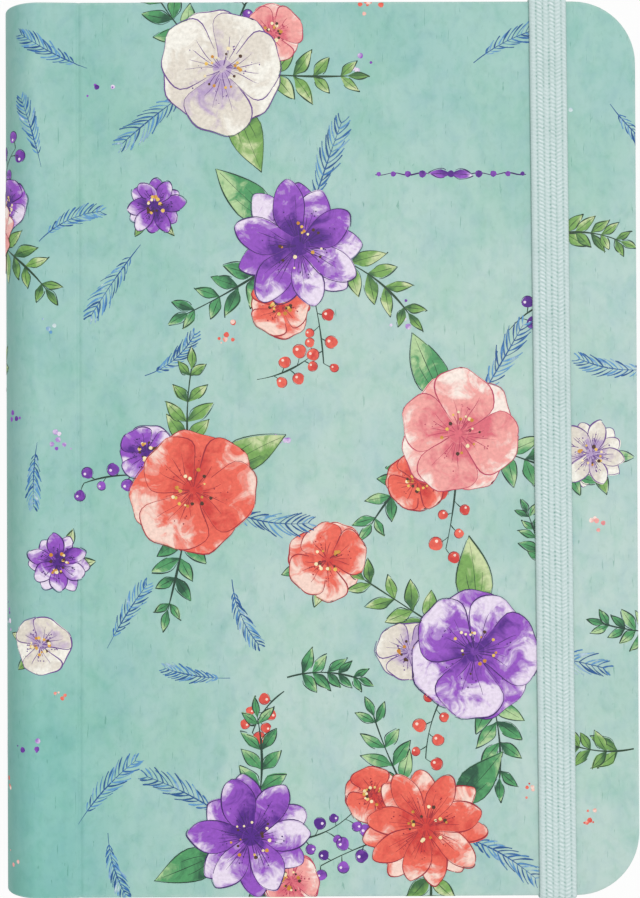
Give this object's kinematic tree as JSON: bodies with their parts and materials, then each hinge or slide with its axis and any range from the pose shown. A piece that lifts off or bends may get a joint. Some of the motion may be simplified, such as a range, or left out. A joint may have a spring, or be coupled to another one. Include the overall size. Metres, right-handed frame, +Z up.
{
  "type": "address book",
  "caption": "Small hard-cover address book with a rounded spine, stepped index pages that fan open with the covers, and a flat elastic band that holds it shut.",
  "frame": {"origin": "middle of the closed book's footprint, on the surface that its back cover lies on", "axes": "+X from the spine to the fore edge, +Y from the tail to the head, +Z up through the front cover"},
  "size_m": [0.127, 0.1802, 0.0173],
  "materials": {
    "printed_cover_paper": "matt printed",
    "greyboard": "raw pressed board",
    "spine_card": "raw card",
    "endpaper": "matt",
    "page_paper": "matt uncoated",
    "lining_cloth": "open weave, glued",
    "band_cotton": "woven",
    "sewing_linen": "twisted thread",
    "woven_elastic": "braided, matt"
  },
  "bodies": {
    "back_cover": {"back_board": "greyboard", "back_cover_wrap": "printed_cover_paper", "back_pastedown": "endpaper", "elastic_ends": "woven_elastic"},
    "spine": {"spine_stiffener": "spine_card", "spine_wrap": "printed_cover_paper", "spine_lining": "lining_cloth", "head_band": "band_cotton", "tail_band": "band_cotton", "sewing_thread": "sewing_linen", "back_joint_wrap": "printed_cover_paper"},
    "front_cover": {"front_board": "greyboard", "front_cover_wrap": "printed_cover_paper", "front_pastedown": "endpaper", "front_joint_wrap": "printed_cover_paper"},
    "elastic": {"elastic_band": "woven_elastic"},
    "section_ab": {"pages_ab": "page_paper", "front_flyleaf": "endpaper"},
    "section_cd": {"pages_cd": "page_paper"},
    "section_ef": {"pages_ef": "page_paper"},
    "section_gh": {"pages_gh": "page_paper"},
    "section_ij": {"pages_ij": "page_paper"},
    "section_kl": {"pages_kl": "page_paper"},
    "section_mn": {"pages_mn": "page_paper"},
    "section_op": {"pages_op": "page_paper"},
    "section_qr": {"pages_qr": "page_paper"},
    "section_st": {"pages_st": "page_paper"},
    "section_uv": {"pages_uv": "page_paper"},
    "section_wx": {"pages_wx": "page_paper"},
    "section_yz": {"pages_yz": "page_paper", "back_flyleaf": "endpaper"}
  },
  "joints": [
    {"name": "book_open", "type": "hinge", "parent": "back_cover", "child": "spine", "pos_m": [-0.06082, 0, 0.00268], "axis": [0, -1, 0], "range_deg": [0, 90], "deforming": ["back_joint_wrap"]},
    {"name": "front_cover_open", "type": "hinge", "parent": "spine", "child": "front_cover", "pos_m": [-0.06082, 0, 0.01356], "axis": [0, -1, 0], "range_deg": [0, 90], "deforming": ["front_joint_wrap"]},
    {"name": "pages_ab_turn", "type": "hinge", "parent": "spine", "child": "section_ab", "pos_m": [-0.05937, 0, 0.01304], "axis": [0, -1, 0], "range_deg": [0, 79.21]},
    {"name": "pages_cd_turn", "type": "hinge", "parent": "spine", "child": "section_cd", "pos_m": [-0.05937, 0, 0.01222], "axis": [0, -1, 0], "range_deg": [0, 66.31]},
    {"name": "pages_ef_turn", "type": "hinge", "parent": "spine", "child": "section_ef", "pos_m": [-0.05937, 0, 0.0114], "axis": [0, -1, 0], "range_deg": [0, 53.41]},
    {"name": "pages_gh_turn", "type": "hinge", "parent": "spine", "child": "section_gh", "pos_m": [-0.05937, 0, 0.01058], "axis": [0, -1, 0], "range_deg": [0, 40.51]},
    {"name": "pages_ij_turn", "type": "hinge", "parent": "spine", "child": "section_ij", "pos_m": [-0.05937, 0, 0.00976], "axis": [0, -1, 0], "range_deg": [0, 27.61]},
    {"name": "pages_kl_turn", "type": "hinge", "parent": "spine", "child": "section_kl", "pos_m": [-0.05937, 0, 0.00894], "axis": [0, -1, 0], "range_deg": [0, 14.71]},
    {"name": "pages_mn_turn", "type": "hinge", "parent": "spine", "child": "section_mn", "pos_m": [-0.05937, 0, 0.00812], "axis": [0, -1, 0], "range_deg": [0, 1.81]},
    {"name": "pages_op_turn", "type": "hinge", "parent": "spine", "child": "section_op", "pos_m": [-0.05937, 0, 0.0073], "axis": [0, -1, 0], "range_deg": [-11.11, 0]},
    {"name": "pages_qr_turn", "type": "hinge", "parent": "spine", "child": "section_qr", "pos_m": [-0.05937, 0, 0.00648], "axis": [0, -1, 0], "range_deg": [-24.01, 0]},
    {"name": "pages_st_turn", "type": "hinge", "parent": "spine", "child": "section_st", "pos_m": [-0.05937, 0, 0.00566], "axis": [0, -1, 0], "range_deg": [-36.91, 0]},
    {"name": "pages_uv_turn", "type": "hinge", "parent": "spine", "child": "section_uv", "pos_m": [-0.05937, 0, 0.00484], "axis": [0, -1, 0], "range_deg": [-49.81, 0]},
    {"name": "pages_wx_turn", "type": "hinge", "parent": "spine", "child": "section_wx", "pos_m": [-0.05937, 0, 0.00402], "axis": [0, -1, 0], "range_deg": [-62.71, 0]},
    {"name": "pages_yz_turn", "type": "hinge", "parent": "spine", "child": "section_yz", "pos_m": [-0.05937, 0, 0.0032], "axis": [0, -1, 0], "range_deg": [-75.61, 0]},
    {"name": "elastic_band_swing", "type": "hinge", "parent": "back_cover", "child": "elastic", "pos_m": [0.0465, 0, 0.0017], "axis": [0, 1, 0], "range_deg": [0, 180], "deforming": ["elastic_band"]}
  ],
  "couplings": [
    {"joint": "front_cover_open", "follows": "book_open", "ratio": 1},
    {"joint": "pages_ab_turn", "follows": "book_open", "ratio": 0.88},
    {"joint": "pages_cd_turn", "follows": "book_open", "ratio": 0.73667},
    {"joint": "pages_ef_turn", "follows": "book_open", "ratio": 0.59333},
    {"joint": "pages_gh_turn", "follows": "book_open", "ratio": 0.45},
    {"joint": "pages_ij_turn", "follows": "book_open", "ratio": 0.30667},
    {"joint": "pages_kl_turn", "follows": "book_open", "ratio": 0.16333},
    {"joint": "pages_mn_turn", "follows": "book_open", "ratio": 0.02},
    {"joint": "pages_op_turn", "follows": "book_open", "ratio": -0.12333},
    {"joint": "pages_qr_turn", "follows": "book_open", "ratio": -0.26667},
    {"joint": "pages_st_turn", "follows": "book_open", "ratio": -0.41},
    {"joint": "pages_uv_turn", "follows": "book_open", "ratio": -0.55333},
    {"joint": "pages_wx_turn", "follows": "book_open", "ratio": -0.69667},
    {"joint": "pages_yz_turn", "follows": "book_open", "ratio": -0.84}
  ]
}
